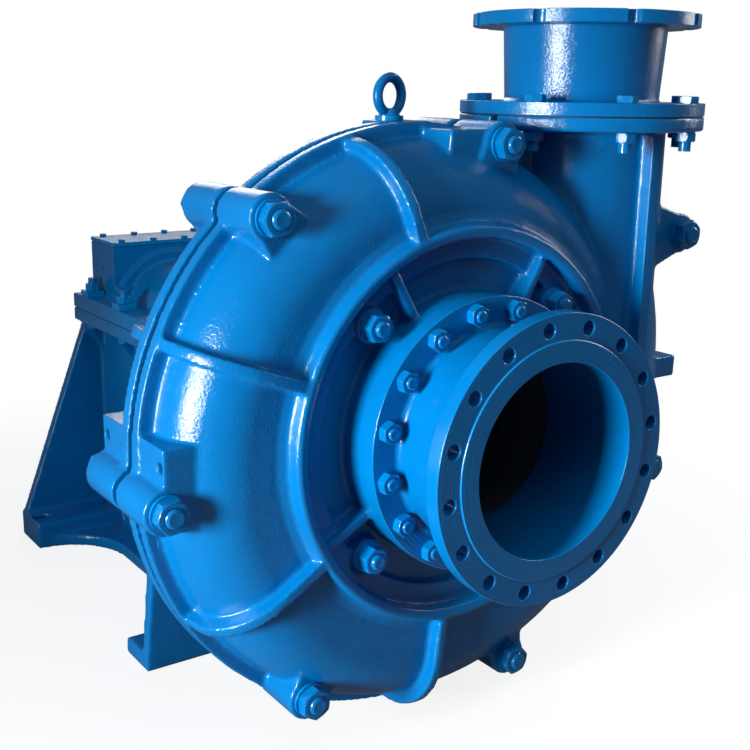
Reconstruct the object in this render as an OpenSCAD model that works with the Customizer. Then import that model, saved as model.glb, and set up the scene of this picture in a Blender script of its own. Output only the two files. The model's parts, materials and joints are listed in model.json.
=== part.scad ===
// Horizontal double-casing slurry pump: 350 mm suction, 300 mm discharge, 700 mm impeller.
// Frame: X to the right seen from the suction side, Y along the shaft to the drive end, Z up.
// Origin: on the base plane, under the shaft axis, midway between the front and rear foot holes.
// Inside the modules Y starts at the suction face and Z at the shaft axis; place() moves them.

/* [Flanges] */
// bore that carries the inlet flow
suction_bore = 350; // [330:1:354]
// outside diameter of both suction spool flanges
suction_od = 520; // [512:1:540]
// from the bolt circle to the edge of both suction spool flanges
suction_edge = 25; // [23:1:27]
// bolts in each suction flange
suction_bolts = 16; // [8:4:16]
// turn of the suction face holes, degrees
suction_turn = 8.4; // [0:0.1:22.5]
// thickness of the suction face flange
suction_t = 34; // [28:1:40]
// bore that carries the outlet flow
discharge_bore = 300; // [270:1:304]
// outside diameter of the discharge face flange
discharge_od = 460; // [446:1:480]
// bolt circle of the discharge face flange
discharge_pcd = 410; // [400:1:414]
// bolts in the discharge face flange
discharge_bolts = 12; // [8:4:12]
// thickness of the discharge face flange
discharge_t = 25; // [20:1:34]
// diameter of the flange holes
flange_hole = 26; // [25:1:28]

/* [Casing] */
// height of the shaft axis over the base plane
axis_h = 626; // [622:1:660]
// Y of the plane between the two casing halves
split_y = 418; // [418:1:418]
// open gap between the two casing halves
split_gap = 16; // [12:1:20]
// thickness of the split flange of each casing half
split_t = 25; // [20:1:28]
// thickness of the casing wall
wall = 20; // [16:1:20]
// rounding of the casing from its flat face to its rim
corner_r = 120; // [112:1:124]
// X of the discharge axis
discharge_x = 435; // [432:1:438]
// Y of the discharge axis
discharge_y = 430; // [424:1:434]
// height of the discharge face over the shaft axis
discharge_top = 766; // [740:1:820]
// outside radius of the discharge neck
neck_r = 178; // [176:1:182]
// diameter of the joint flange under the discharge spool
joint_od = 502; // [496:1:516]
// width of the casing ribs
rib_t = 22; // [16:1:28]
// radius of the casing bolt bosses
boss_r = 42; // [38:1:46]

/* [Wet end] */
// impeller diameter
impeller_d = 700; // [640:1:702]
// impeller outlet width between the shrouds
outlet_w = 92; // [70:1:96]
// number of impeller vanes
vanes = 5; // [3:1:6]
// thickness of the volute liner
liner_t = 22; // [16:1:24]
// outside radius of the shaft sleeve
sleeve_r = 84; // [80:1:88]
// side of the square packing rings
packing = 24; // [20:1:24]

/* [Drive end] */
// half width of the saddle
saddle_hw = 222; // [220:1:240]
// height of the saddle face over the shaft axis
saddle_z = 12; // [8:1:16]
// outside radius of the upper half of the bearing barrel
barrel_r = 150; // [146:1:160]
// outside radius of both bearings
bearing_ro = 107.5; // [104:0.5:110]
// shaft radius in the bearings
seat_r = 60; // [56:0.5:62]
// width of the bearings
bearing_w = 58; // [50:1:62]
// Y of the drive end of the shaft
shaft_end = 1960; // [1900:1:2000]
// X of the foot holes
foot_x = 372; // [366:1:380]
// Y of the front foot holes
foot_front_y = 832; // [824:1:838]
// Y of the rear foot holes
foot_rear_y = 1604; // [1596:1:1620]

/* [Hidden] */
$fn = 64;

clear = 0.3;                             // clearance between pieces that are not a fit
seat = 0.1;                              // clearance of a thread or of a sliding fit
m24 = 12;                                // bolt radii
m20 = 10;
m30 = 15;
m36 = 18;
f0 = split_y - split_gap / 2;            // joint face of the front casing
inner_end = f0 - split_t * 0.4;          // pieces that end inside the split flange
face_y = split_y - 160;                  // flat face of the front casing
corner_y = face_y + corner_r;            // start of the corner rounding
floor_y = face_y + 42;                   // inner face of the casing floor
neck_top = discharge_top - 199;          // top face of the casing joint flange
joint_t = 28;
joint_pcd_r = joint_od / 2 - 24;
gasket = 2;
hub_y = 211 + gasket;                    // front face of the casing hub
stud_r = suction_od / 2 - suction_edge;  // bolt circle of both suction spool flanges
floor_r = impeller_d / 2 + 1.5;          // edge of the raised casing floor and of the front liner
bracket_y = 2 * split_y - face_y + 36;   // joint face of rear casing and pedestal
box_y = 592;                             // seat of the stuffing box flange
wheel_y = split_y - outlet_w / 2 - 16;   // front face of the impeller shroud at its rim
trough_r = 141.5;                        // clear radius between the pedestal walls
front_brg = 915;                         // Y where the bearings start
rear_brg = 1560;
housing_y0 = 900;
housing_y1 = 1680;
foot_mid_y = (foot_front_y + foot_rear_y) / 2;
hold_y = [955, 1170, 1385, 1600];
blue = [0.02, 0.28, 0.55];
iron = [0.42, 0.43, 0.45];
steel = [0.66, 0.67, 0.69];

// rim of the split flange: three arcs [x, z, radius] that run into each other
arc_a = [-26, -22, 578];                 // upper left
arc_b = [-14, -22, 590];                 // lower left
arc_c = [-14, 57, 669];                  // lower right
// body inside the rim [x, z, radius]: it meets in line too, and its rim is a little smaller
skin = 30;
body_a = [arc_a[0], arc_a[1], arc_a[2] - skin];
body_b = [arc_b[0], arc_b[1], arc_b[2] - skin];
body_c = [arc_c[0], 41, 623];
right_x = arc_c[0] + arc_c[2];
left_x = 2 * discharge_x - right_x;

// casing bolt axes [x, z], the last one stands beside the neck
bolts = [[-391, 407], [-592, -66], [-314, -494], [184, -549], [566, -190], [106, 518], [622, 322]];
// angle and outer radius of the body ribs, one seventh of a turn apart
ribs = [[109, 558], [160.4, 590], [211.9, 609], [263.3, 608], [314.7, 613]];

module place() translate([0, -foot_mid_y, axis_h]) children();
module slab(y0, y1) translate([0, y1, 0]) rotate([90, 0, 0]) linear_extrude(height = y1 - y0)
    children();
module spin(a = 0, s = 360) rotate([90, 0, 0]) rotate([0, 0, a]) rotate_extrude(angle = s)
    mirror([0, 1, 0]) children();
module rod(y0, y1, r) translate([0, y0, 0]) rotate([-90, 0, 0]) cylinder(h = y1 - y0, r = r);
module tube(y0, y1, r0, r1) difference() {
    rod(y0, y1, r1);
    rod(y0 - 1, y1 + 1, r0);
}
module nut(y0, y1, af, bore) difference() {
    intersection() {
        translate([0, y0, 0]) rotate([-90, 0, 0]) cylinder(h = y1 - y0, d = af / cos(30), $fn = 6);
        spin() polygon([[0, y0], [af * 0.5, y0], [af * 0.59, y0 + af * 0.05],
            [af * 0.59, y1 - af * 0.05], [af * 0.5, y1], [0, y1]]);
    }
    if (bore > 0) rod(y0 - 1, y1 + 1, bore);
}
module at(p) translate([p[0], 0, p[1]]) children();
module around(n, r, a0 = 0) for (i = [0:n - 1]) let (t = a0 + i * 360 / n)
    translate([r * cos(t), 0, r * sin(t)]) rotate([0, -t, 0]) children();
module turn(t) rotate([0, -t, 0]) children();
module mirrored() translate([0, 2 * split_y, 0]) mirror([0, 1, 0]) children();
module round_z(x, y, z0, z1, r) translate([x, y, z0]) cylinder(h = z1 - z0, r = r);
module slot_x(x, y, z0, z1, r, reach) {
    for (d = [-reach, reach]) round_z(x + d, y, z0, z1, r);
    translate([x - reach, y - r, z0]) cube([2 * reach, 2 * r, z1 - z0]);
}
module slot_y(x, y, z0, z1, r, reach) {
    for (d = [-reach, reach]) round_z(x, y + d, z0, z1, r);
    translate([x - r, y - reach, z0]) cube([2 * r, 2 * reach, z1 - z0]);
}
module round_x(x0, x1, y, z, r) translate([x0, y, z]) rotate([0, 90, 0]) cylinder(h = x1 - x0, r = r);

// ---------- double casing ----------
module rim_outline() {
    intersection() {
        translate([arc_a[0], arc_a[1]]) circle(r = arc_a[2]);
        translate([arc_a[0] - 1000, arc_a[1]]) square([1252, 1000]);
    }
    intersection() {
        translate([arc_b[0], arc_b[1]]) circle(r = arc_b[2]);
        translate([arc_b[0] - 1000, arc_b[1] - 1000]) square([1000, 1000]);
    }
    intersection() {
        translate([arc_c[0], arc_c[1]]) circle(r = arc_c[2]);
        translate([arc_c[0], arc_c[1] - 1000]) square([1000, 1000]);
    }
    translate([left_x, arc_c[1]]) square([right_x - left_x, neck_top - joint_t - arc_c[1]]);
}
// radial section of one arc of the body, d inside its outer skin, up to y1
module arc_section(r, d, y1) {
    rc = r - corner_r;
    translate([250, face_y + d]) square([rc - 250, y1 - face_y - d]);
    translate([rc, corner_y]) square([corner_r - d, y1 - corner_y]);
    intersection() {
        translate([rc, corner_y]) circle(r = corner_r - d);
        translate([rc, corner_y - 200]) square([200, 200]);
    }
}
module body(d, y1) {
    difference() {
        at(body_a) spin(0, 180) arc_section(body_a[2], d, y1);
        translate([body_c[0], 0, body_a[1] - 1]) cube([900, 900, body_c[1] - body_a[1] + 1]);
    }
    at(body_b) spin(180, 90) arc_section(body_b[2], d, y1);
    at(body_c) spin(270, 90) arc_section(body_c[2], d, y1);
    intersection() {
        at(body_c) spin(0, 40) arc_section(body_c[2], d, y1);
        translate([discharge_x + 30, 0, 0]) cube([600, 1000, 1000]);
    }
    rod(face_y + d, y1, 380);
}
module neck(r, y0, y1) intersection() {
    round_z(discharge_x, discharge_y, 20, neck_top + 1, r);
    translate([0, y0, 0]) cube([1000, y1 - y0, neck_top]);
    translate([0, discharge_y, body_c[1] - neck_r]) rotate([45, 0, 0]) cube([1000, 900, 900]);
}
module lug(p, y0, y1) at(p) {
    rod(y0, y1, boss_r);
    slab(y0, y1) rotate([0, 0, atan2(p[1], p[0])])
        polygon([[0, 3 - boss_r], [0, boss_r - 3], [-118, 64], [-118, -64]]);
}
module rib(t, r_out) turn(t) translate([0, 0, -rib_t / 2]) linear_extrude(height = rib_t) {
    cr = corner_r + 20;
    cy = face_y - 28 + cr;
    translate([366, face_y - 28]) square([r_out - cr - 366, 100]);
    translate([r_out - cr, cy]) square([cr, inner_end - cy]);
    intersection() {
        translate([r_out - cr, cy]) circle(r = cr);
        translate([r_out - cr, cy - 200]) square([200, 200]);
    }
}
// everything both halves have outside, drawn as a front half
module half_outside() {
    body(0, inner_end);
    slab(f0 - split_t, f0) rim_outline();
    for (i = [0:5]) lug(bolts[i], face_y + 34, f0);
    at(bolts[6]) rod(face_y + 34, f0, boss_r);
    slab(face_y + 34, f0) polygon([[622, 325 - boss_r], [622, 319 + boss_r], [500, 402], [500, 236]]);
    for (r = ribs) rib(r[0], r[1]);
    // lifting blocks
    translate([-597, face_y + 34, -25]) cube([120, f0 - face_y - 34, 67]);
    translate([-15, face_y + 42, 440]) cube([100, f0 - face_y - 42, 105]);
    translate([540, face_y + 34, 6]) cube([98, f0 - face_y - 34, 46]);
}
module half_holes() {
    for (p = bolts) at(p) rod(0, 900, m36 + 0.5);
    round_x(-600, -545, face_y + 50, 8, 10);
    round_z(16, face_y + 62, 500, 550, 10);
}
// hollow of the half, with the raised floor left standing
module half_hollow() difference() {
    body(wall, split_y + 1);
    rod(200, floor_y, floor_r);
}
module joint_flange(y0, y1) intersection() {
    round_z(discharge_x, discharge_y, neck_top - joint_t, neck_top, joint_od / 2);
    translate([0, y0, 0]) cube([1000, y1 - y0, 1000]);
}
module joint_ring(z0, z1, r) for (i = [0:7]) translate([discharge_x, discharge_y, 0])
    rotate([0, 0, 22.5 + i * 45]) round_z(joint_pcd_r, 0, z0, z1, r);

module front_casing() color(blue) place() difference() {
    union() {
        difference() {
            union() {
                half_outside();
                neck(neck_r, 0, inner_end);
                joint_flange(0, f0);
                // raised ring round the recess
                spin() polygon([[350, face_y + 10], [350, 236], [354, 232], [374, face_y - 32],
                    [380, face_y - 27], [385, face_y - 6], [406, face_y + 0.5], [406, face_y + 10]]);
                translate([discharge_x - 3, 222, 90]) cube([28, 60, neck_top - joint_t - 89]);
            }
            rod(0, 262, 357);
            rod(0, 280, 316);
        }
        tube(hub_y, 292, 180, 255);
        for (t = [60, 120, 210, 330]) turn(t) translate([0, 0, -9]) linear_extrude(height = 18)
            polygon([[250, 240], [348, 240], [358, 252], [358, 270], [250, 290]]);
        for (t = [45:90:315]) turn(t) translate([304, 0, 0]) rod(250, 290, 33);
    }
    half_hollow();
    neck(neck_r - 13, 0, split_y + 1);
    half_holes();
    joint_ring(neck_top - 60, neck_top + 1, m24 + 1);
    rod(0, 500, suction_bore / 2 + 22 + clear);
    around(suction_bolts, stud_r, 11.25) rod(0, 248, m24 + seat);
    for (t = [45:90:315]) turn(t) translate([304, 0, 0]) rod(0, 320, m30 + 0.5);
}
module rear_casing() color(blue) place() difference() {
    union() {
        difference() {
            mirrored() half_outside();
            tube(554, 700, 100, 316);
            tube(574, 700, 100, 357);
        }
        neck(neck_r, 2 * split_y - inner_end, 900);
        joint_flange(2 * split_y - f0, 900);
        tube(570, bracket_y, 355, 430);
        tube(545, box_y, 140, 214);
        translate([-62, 2 * split_y - f0, 470]) cube([100, 90, 86]);
        for (t = [0:90:270]) turn(t) translate([0, 0, -9]) linear_extrude(height = 18)
            polygon([[205, 546], [205, 588], [350, 596], [358, 584], [358, 560]]);
        for (t = [45:90:315]) turn(t) translate([304, 0, 0]) rod(546, 586, 33);
    }
    mirrored() half_hollow();
    neck(neck_r - 13, split_y - 1, 900);
    mirrored() half_holes();
    joint_ring(neck_top - 60, neck_top + 1, m24 + 1);
    rod(400, 800, 150 + clear);
    around(12, 402, 15) rod(594, 700, m24 + seat);
    around(8, 190, 22.5) rod(560, 700, m20 + seat);
    turn(45) round_x(140, 240, 574, 0, 8);
    for (t = [45:90:315]) turn(t) translate([304, 0, 0]) rod(500, 700, m30 + 0.5);
    round_z(-30, 470, 510, 560, m24 + seat);
}
// one-piece volute liner that lines both halves
module volute_liner() color(iron) place() difference() {
    union() {
        difference() {
            union() {
                body(wall + clear, split_y + 1);
                mirrored() body(wall + clear, split_y + 1);
                neck(neck_r - 13 - clear, 0, 900);
            }
            body(wall + clear + liner_t, split_y + 1);
            mirrored() body(wall + clear + liner_t, split_y + 1);
        }
        tube(face_y + wall + clear, 326, 345, 378);
        tube(2 * split_y - 326, 2 * split_y - face_y - wall - clear, 345, 378);
    }
    rod(200, 700, floor_r + 0.5);
    round_z(discharge_x, discharge_y, 60, 700, discharge_bore / 2 + 2);
}
throat_r = suction_bore / 2 + 2;
module front_liner() color(iron) place() difference() {
    spin() polygon([[throat_r, hub_y], [throat_r + 20, hub_y], [throat_r + 20, floor_y + clear],
        [floor_r + clear, floor_y + clear], [floor_r + clear, 338], [floor_r - 8, 346],
        [throat_r + 8, 346], [throat_r, 338]]);
    for (t = [45:90:315]) turn(t) translate([304, 0, 0]) rod(280, 330, m30 + seat);
}
module rear_liner() color(iron) place() difference() {
    spin() polygon([[122, 498], [130, 490], [floor_r - 8, 490], [floor_r + clear, 498],
        [floor_r + clear, 2 * split_y - floor_y - clear], [122, 2 * split_y - floor_y - clear]]);
    for (t = [45:90:315]) turn(t) translate([304, 0, 0]) rod(506, 560, m30 + seat);
}

// ---------- suction and discharge pipes ----------
module suction_spool() color(blue) place() difference() {
    spin() difference() {
        union() {
            translate([0, 3]) square([suction_od / 2, suction_t - 3]);
            square([suction_bore / 2 + 38, 10]);
            translate([0, 20]) square([205, 180]);
            translate([200, suction_t - 1]) square([15, 11]);
            translate([200, 170]) square([15, 11]);
            translate([0, 180]) square([suction_od / 2, 31]);
        }
        translate([215, suction_t + 10]) circle(r = 10);
        translate([215, 170]) circle(r = 10);
        translate([-1, -1]) square([suction_bore / 2 + 1, 300]);
    }
    around(suction_bolts, stud_r, suction_turn) rod(-1, 60, flange_hole / 2);
    around(suction_bolts, stud_r, 11.25) rod(150, 300, m24 + 1.5);
}
module suction_studs() color(blue) place() around(suction_bolts, stud_r, 11.25) rod(156, 246, m24);
module suction_nuts() color(blue) place() around(suction_bolts, stud_r, 11.25)
    nut(161, 180, 36, m24 + seat);
module suction_gasket() color([0.05, 0.05, 0.05]) place() difference() {
    tube(211, hub_y, throat_r, suction_od / 2 - 5);
    around(suction_bolts, stud_r, 11.25) rod(200, 230, m24 + 1.5);
}
module discharge_spool() color(blue) place() difference() {
    translate([discharge_x, discharge_y, neck_top + gasket]) {
        cylinder(h = 25, r = joint_od / 2);
        cylinder(h = discharge_top - neck_top - gasket, r1 = 157, r2 = 168);
        translate([0, 0, 24]) cylinder(h = 7, r1 = 165, r2 = 158);
        translate([0, 0, discharge_top - neck_top - gasket - discharge_t])
            cylinder(h = discharge_t, r = discharge_od / 2);
    }
    round_z(discharge_x, discharge_y, 500, 900, discharge_bore / 2);
    joint_ring(500, 900, m24 + 1);
    translate([discharge_x, discharge_y, 0]) for (i = [0:discharge_bolts - 1])
        rotate([0, 0, (i + 0.5) * 360 / discharge_bolts])
        round_z(discharge_pcd / 2, 0, discharge_top - 60, 900, flange_hole / 2);
}
module upright(z0, z1, af, bore) translate([0, 0, z0]) rotate([90, 0, 0])
    translate([0, 0, 0]) nut(0, z1 - z0, af, bore);
module joint_place() for (i = [0:7]) translate([discharge_x, discharge_y, 0])
    rotate([0, 0, 22.5 + i * 45]) translate([joint_pcd_r, 0, 0]) children();
module discharge_joint_bolts() color(blue) place() joint_place() {
    upright(neck_top + gasket + 25, neck_top + gasket + 39, 36, 0);
    round_z(0, 0, neck_top - 66, neck_top + gasket + 26, m24);
}
module discharge_joint_nuts() color(blue) place() joint_place()
    upright(neck_top - joint_t - 19, neck_top - joint_t, 36, m24 + seat);
module discharge_gasket() color([0.05, 0.05, 0.05]) place() difference() {
    round_z(discharge_x, discharge_y, neck_top, neck_top + gasket, joint_od / 2 - 3);
    round_z(discharge_x, discharge_y, 500, 900, discharge_bore / 2 + 2);
    joint_ring(500, 900, m24 + 1);
}

// ---------- casing fasteners ----------
boss_y = face_y + 34;
module both_ends() {
    children();
    mirrored() children();
}
module casing_studs() color(blue) place() for (p = bolts) at(p)
    rod(boss_y - 35, 2 * split_y - boss_y + 35, m36);
module casing_nuts() color(blue) place() both_ends() for (p = bolts) at(p)
    turn(20) nut(boss_y - 28, boss_y - 5, 55, m36 + seat);
module casing_washers() color(blue) place() both_ends() for (p = bolts) at(p)
    tube(boss_y - 5, boss_y, m36 + 0.5, 33);
module liner_points() for (t = [45:90:315]) turn(t) translate([304, 0, 0]) children();
module liner_studs() color(blue) place() liner_points() {
    rod(214, 328, m30);
    rod(508, 2 * split_y - 214, m30);
}
module liner_nuts() color(blue) place() both_ends() liner_points()
    turn(15) nut(222, 246, 46, m30 + seat);
module liner_washers() color(blue) place() both_ends() liner_points() tube(246, 250, m30 + 0.5, 28);
module lifting_eyebolt() color(blue) place() translate([-30, 470, 556]) {
    translate([0, 0, -44]) cylinder(h = 50, r = m24);
    cylinder(h = 9, r = 27);
    translate([0, 0, 8]) cylinder(h = 14, r1 = 22, r2 = 13);
    translate([0, 0, 46]) rotate([90, 0, 12]) rotate_extrude() translate([33, 0]) circle(r = 9.5);
}

// ---------- shaft seal ----------
pack_y = 586;                            // first packing ring behind the lantern ring
pack_end = pack_y + 4 * (packing + 0.2);
chamber_r = sleeve_r + packing;
box_end = 700;
module stuffing_box() color(blue) place() difference() {
    union() {
        rod(536, box_y + 1, 150);
        rod(box_y, box_y + 24, 214);
        rod(box_y + 23, box_end - 19, 132);
        rod(box_end - 20, box_end, 150);
        for (t = [0:60:300]) turn(t) translate([0, 0, -6]) linear_extrude(height = 12)
            polygon([[120, 612], [172, 612], [172, 616], [134, 676], [120, 676]]);
    }
    rod(500, 800, sleeve_r + 13 + seat);
    rod(pack_y - packing, 800, chamber_r);
    around(8, 190, 22.5) rod(500, 700, m20 + 0.5);
    around(4, 131, 45) rod(box_end - 22, box_end + 1, m20 + seat);
    turn(45) round_x(90, 240, pack_y - 12, 0, 7);
}
module box_studs() color(steel) place() around(8, 190, 22.5) rod(562, 642, m20);
module box_nuts() color(steel) place() around(8, 190, 22.5) nut(616, 634, 30, m20 + seat);
module neck_bush() color([0.6, 0.47, 0.2]) place()
    tube(536, pack_y - packing - 0.2, sleeve_r + 0.5, sleeve_r + 13);
module packing_rings() color([0.55, 0.52, 0.42]) place() for (i = [0:3])
    tube(pack_y + i * (packing + 0.2), pack_y + packing + i * (packing + 0.2), sleeve_r + 0.08,
        chamber_r - 0.05);
module lantern_ring() color([0.6, 0.47, 0.2]) place() difference() {
    tube(pack_y - packing, pack_y - 0.2, sleeve_r + 0.3, chamber_r - 0.1);
    tube(pack_y - 17, pack_y - 7, 70, sleeve_r + 6);
    tube(pack_y - 17, pack_y - 7, chamber_r - 6, 150);
    for (t = [0:45:315]) turn(t) round_x(70, 120, pack_y - 12, 0, 4);
}
module gland() color(steel) place() difference() {
    union() {
        rod(pack_end + clear, box_end + 13, chamber_r - clear);
        rod(box_end + 12, box_end + 34, 150);
    }
    rod(500, 900, sleeve_r + 0.6);
    around(4, 131, 45) rod(600, 900, m20 + 0.5);
}
module gland_studs() color(steel) place() around(4, 131, 45) rod(box_end - 20, 790, m20);
module gland_nuts() color(steel) place() around(4, 131, 45) nut(box_end + 34, box_end + 52, 30, m20 + clear);

// ---------- pedestal ----------
base_z = -axis_h;
module side_pair() {
    children();
    mirror([1, 0, 0]) children();
}
module foot_slot(y) slot_x(foot_x, y, base_z - 1, base_z + 90, 16, 8);
// drum that bolts to the rear casing, open at both sides and on top
module pedestal_bracket() color(blue) place() difference() {
    union() {
        rod(bracket_y, bracket_y + 30, 428);
        rod(bracket_y + 29, 766, 372);
    }
    rod(600, 800, 340);
    for (a = [0, 180]) turn(a) translate([200, bracket_y + 30, -150]) cube([400, 92, 300]);
    translate([-150, bracket_y + 30, 200]) cube([300, 92, 300]);
    around(12, 402, 15) rod(600, 700, m24 + 1);
}
// plate under the wet end
module pedestal_front_plate() color(blue) place() difference() {
    slab(766, 794) {
        circle(r = 372);
        polygon([[-434, base_z], [434, base_z], [416, -406], [368, -50], [-368, -50], [-416, -406]]);
    }
    rod(600, 850, 200);
    slab(760, 800) translate([-131, -560]) square([262, 170]);
}
// side wall with its feet and base flange, one on each side
module pedestal_sides() color(blue) place() side_pair() difference() {
    union() {
        translate([131, 794, base_z]) cube([24, 856, -base_z - 24]);
        // front foot with its gusset
        translate([295, 794, base_z]) cube([139, 81, 38]);
        translate([320, 0, 0]) rotate([90, 0, 90]) linear_extrude(height = 24)
            polygon([[794, -589], [870, -589], [797, -500], [794, -500]]);
        // base flange that flares into the feet
        translate([0, 0, base_z]) linear_extrude(height = 30) difference() {
            translate([131, 794]) square([303, 856]);
            translate([228, 1080]) square([300, 290]);
            translate([434, 1080]) circle(r = 206);
            translate([402, 1370]) circle(r = 174);
            translate([402, 1370]) square([100, 300]);
        }
        // rear foot
        translate([140, 1544, base_z]) cube([262, 106, 70]);
        for (y = hold_y) slab(y + 27, y + 41)
            polygon([[150, -24], [saddle_hw - 4, -24], [150, -110]]);
    }
    rod(780, 1700, trough_r);
    foot_slot(foot_front_y);
    foot_slot(foot_rear_y);
}
module pedestal_rear_plate() color(blue) place() slab(1650, housing_y1) difference() {
    polygon([[-199, -24], [199, -24], [397, -556], [402, -556], [402, base_z], [-402, base_z],
        [-402, -556], [-397, -556]]);
    circle(r = trough_r);
    translate([0, -230]) circle(r = 90);
    translate([-90, -470]) square([180, 240]);
}
// saddle rail under each side of the bearing housing
module pedestal_rails() color(blue) place() side_pair() difference() {
    union() {
        translate([100, 860, -24]) cube([saddle_hw - 100, housing_y1 - 860, 24 + saddle_z]);
        translate([164, 860, saddle_z - 1]) cube([44, 22, 45]);
    }
    rod(800, 1700, trough_r);
    for (y = hold_y) round_z(195, y, -60, 60, m24 + 0.5);
    translate([186, 0, 34]) rod(850, 900, m20 + seat);
}
module pedestal_studs() color(blue) place() around(12, 402, 15) rod(596, bracket_y + 58, m24);
module pedestal_nuts() color(blue) place() around(12, 402, 15)
    nut(bracket_y + 30, bracket_y + 50, 36, m24 + seat);
clamp_z = saddle_z + 39 + 2 * clear;
module hold_down_bolts() color(blue) place() side_pair() for (y = hold_y) translate([195, y, 0]) {
    upright(-38, -24, 36, 0);
    round_z(0, 0, -25, clamp_z + 50, m24);
    upright(clamp_z + 16, clamp_z + 35, 36, m24 - 1);
}
module clamp_blocks() color(blue) place() side_pair() for (y = hold_y) difference() {
    translate([172, y - 24, clamp_z]) cube([48, 48, 16]);
    round_z(195, y, 0, 100, m24 + 0.5);
}
module adjusting_screws() color(steel) place() side_pair() translate([186, 0, 34]) {
    rod(832, housing_y0 - 3.5, m20);
    nut(824, 833, 30, 0);
    nut(848, 860, 30, m20 - 1);
}

// ---------- bearing housing ----------
module bearing_housing() color(blue) place() difference() {
    union() {
        translate([-saddle_hw, housing_y0, saddle_z + clear])
            cube([2 * saddle_hw, housing_y1 - housing_y0, 39]);
        rod(housing_y0, housing_y1, trough_r - 2.5);
        intersection() {
            union() {
                rod(housing_y0, housing_y1, barrel_r);
                rod(1496, 1526, 178);
                rod(housing_y0, housing_y0 + 26, 170);
                translate([-168, 1512, 30]) cube([336, 154, 165]);
                translate([-167, 1480, 30]) cube([334, 196, 55]);
            }
            translate([-300, 800, 30]) cube([600, 900, 400]);
        }
    }
    rod(800, 1700, bearing_ro - 8);
    rod(800, front_brg + bearing_w, bearing_ro);
    rod(rear_brg, 1700, bearing_ro);
    translate([-150, 1530, 158]) cube([300, 118, 60]);
    round_z(0, 1589, 90, 160, 8);
    round_x(-170, -156, 1590, 128, 7);
    side_pair() for (y = hold_y) slot_y(195, y, 0, 100, m24 + 0.6, 5);
    cover_points() round_z(0, 0, 170, 200, 5 + seat);
    around(8, 123, 22.5) rod(housing_y0 - 1, housing_y0 + 24, 6 + seat);
    around(8, 123, 22.5) rod(housing_y1 - 24, housing_y1 + 1, 6 + seat);
}
module cover_points() side_pair() for (x = [46, 138], y = [1524, 1654])
    translate([x, y, 0]) children();
module housing_cover() color(blue) place() difference() {
    translate([-168, 1510, 195]) cube([336, 158, 10]);
    cover_points() round_z(0, 0, 190, 220, 5.5);
}
module cover_screws() color(blue) place() cover_points() {
    upright(205, 212, 17, 0);
    round_z(0, 0, 172, 206, 5);
}
module front_bearing_cover() color(blue) place() difference() {
    union() {
        tube(880, housing_y0, seat_r + 10.5, 138);
        tube(housing_y0 - 1, front_brg - 0.1, seat_r + 34, bearing_ro - 0.05);
    }
    around(8, 123, 22.5) rod(800, 1000, 6.5);
    tube(886, 892, 60, 74);
}
module rear_bearing_cover() color(blue) place() difference() {
    union() {
        tube(housing_y1, 1700, seat_r + 0.5, 138);
        tube(rear_brg + bearing_w + 0.1, housing_y1 + 1, seat_r + 34, bearing_ro - 0.05);
    }
    around(8, 123, 22.5) rod(1650, 1750, 6.5);
    tube(1686, 1692, 40, seat_r + 6);
}
module bearing_cover_bolts() color(steel) place() {
    around(8, 123, 22.5) {
        rod(879, housing_y0 + 22, 6);
        nut(872, 880, 19, 0);
        rod(housing_y1 - 22, 1701, 6);
        nut(1700, 1708, 19, 0);
    }
}
roller_r = 10.65;
roller_c = (bearing_ro + seat_r) / 2;
track_i = roller_c - roller_r - 0.1;
track_o = roller_c + roller_r + 0.1;
module outer_race(y) difference() {
    tube(y, y + bearing_w, track_o - 4, bearing_ro - 0.02);
    rod(y + 8, y + bearing_w - 8, track_o);
}
module inner_race(y) tube(y, y + bearing_w, seat_r + 0.02, track_i);
module rollers(y) around(16, roller_c, 0) rod(y + 8.3, y + bearing_w - 8.3, roller_r);
module cage(y) difference() {
    tube(y + 5, y + bearing_w - 5, roller_c - 5, roller_c + 5);
    around(16, roller_c, 0) rod(y + 8, y + bearing_w - 8, roller_r + 0.25);
}
module front_outer_race() color(steel) place() outer_race(front_brg);
module rear_outer_race() color(steel) place() outer_race(rear_brg);
module front_rollers() color(steel) place() rollers(front_brg);
module rear_rollers() color(steel) place() rollers(rear_brg);
module front_cage() color([0.6, 0.47, 0.2]) place() cage(front_brg);
module rear_cage() color([0.6, 0.47, 0.2]) place() cage(rear_brg);

// ---------- rotor ----------
module front_inner_race() color(steel) place() inner_race(front_brg);
module rear_inner_race() color(steel) place() inner_race(rear_brg);
module shaft() color(steel) place() difference() {
    spin() polygon([[0, 396], [45, 396], [48, 399], [48, 505], [54.95, 505], [54.95, 775],
        [seat_r, 775], [seat_r, front_brg + bearing_w], [68, front_brg + bearing_w],
        [68, rear_brg], [seat_r, rear_brg], [seat_r, 1722], [52.5, 1722], [52.5, shaft_end - 4],
        [48.5, shaft_end], [0, shaft_end]]);
    turn(36) slot_y(0, shaft_end - 112, 42.5, 60, 14, 84);
}
module shaft_sleeve() color(steel) place() spin()
    polygon([[55, 505], [sleeve_r - 2, 505], [sleeve_r, 507], [sleeve_r, 743], [sleeve_r - 2, 745], [55, 745]]);
module release_ring() color(steel) place() difference() {
    tube(745, 775, 55, 78);
    for (t = [0:90:270]) turn(t) round_x(66, 90, 760, 0, 6);
}
module slinger() color([0.08, 0.08, 0.08]) place() spin()
    polygon([[seat_r + 0.02, 800], [80, 800], [112, 806], [112, 812], [80, 816], [seat_r + 0.02, 816]]);
module bearing_spacer() color(steel) place() tube(816, front_brg, seat_r + 0.02, seat_r + 10);
module bearing_locknut() color(steel) place() difference() {
    tube(rear_brg + bearing_w, rear_brg + bearing_w + 22, seat_r + 0.05, 82);
    around(4, 82, 0) translate([-5, 1600, -5]) cube([20, 60, 10]);
}

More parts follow.
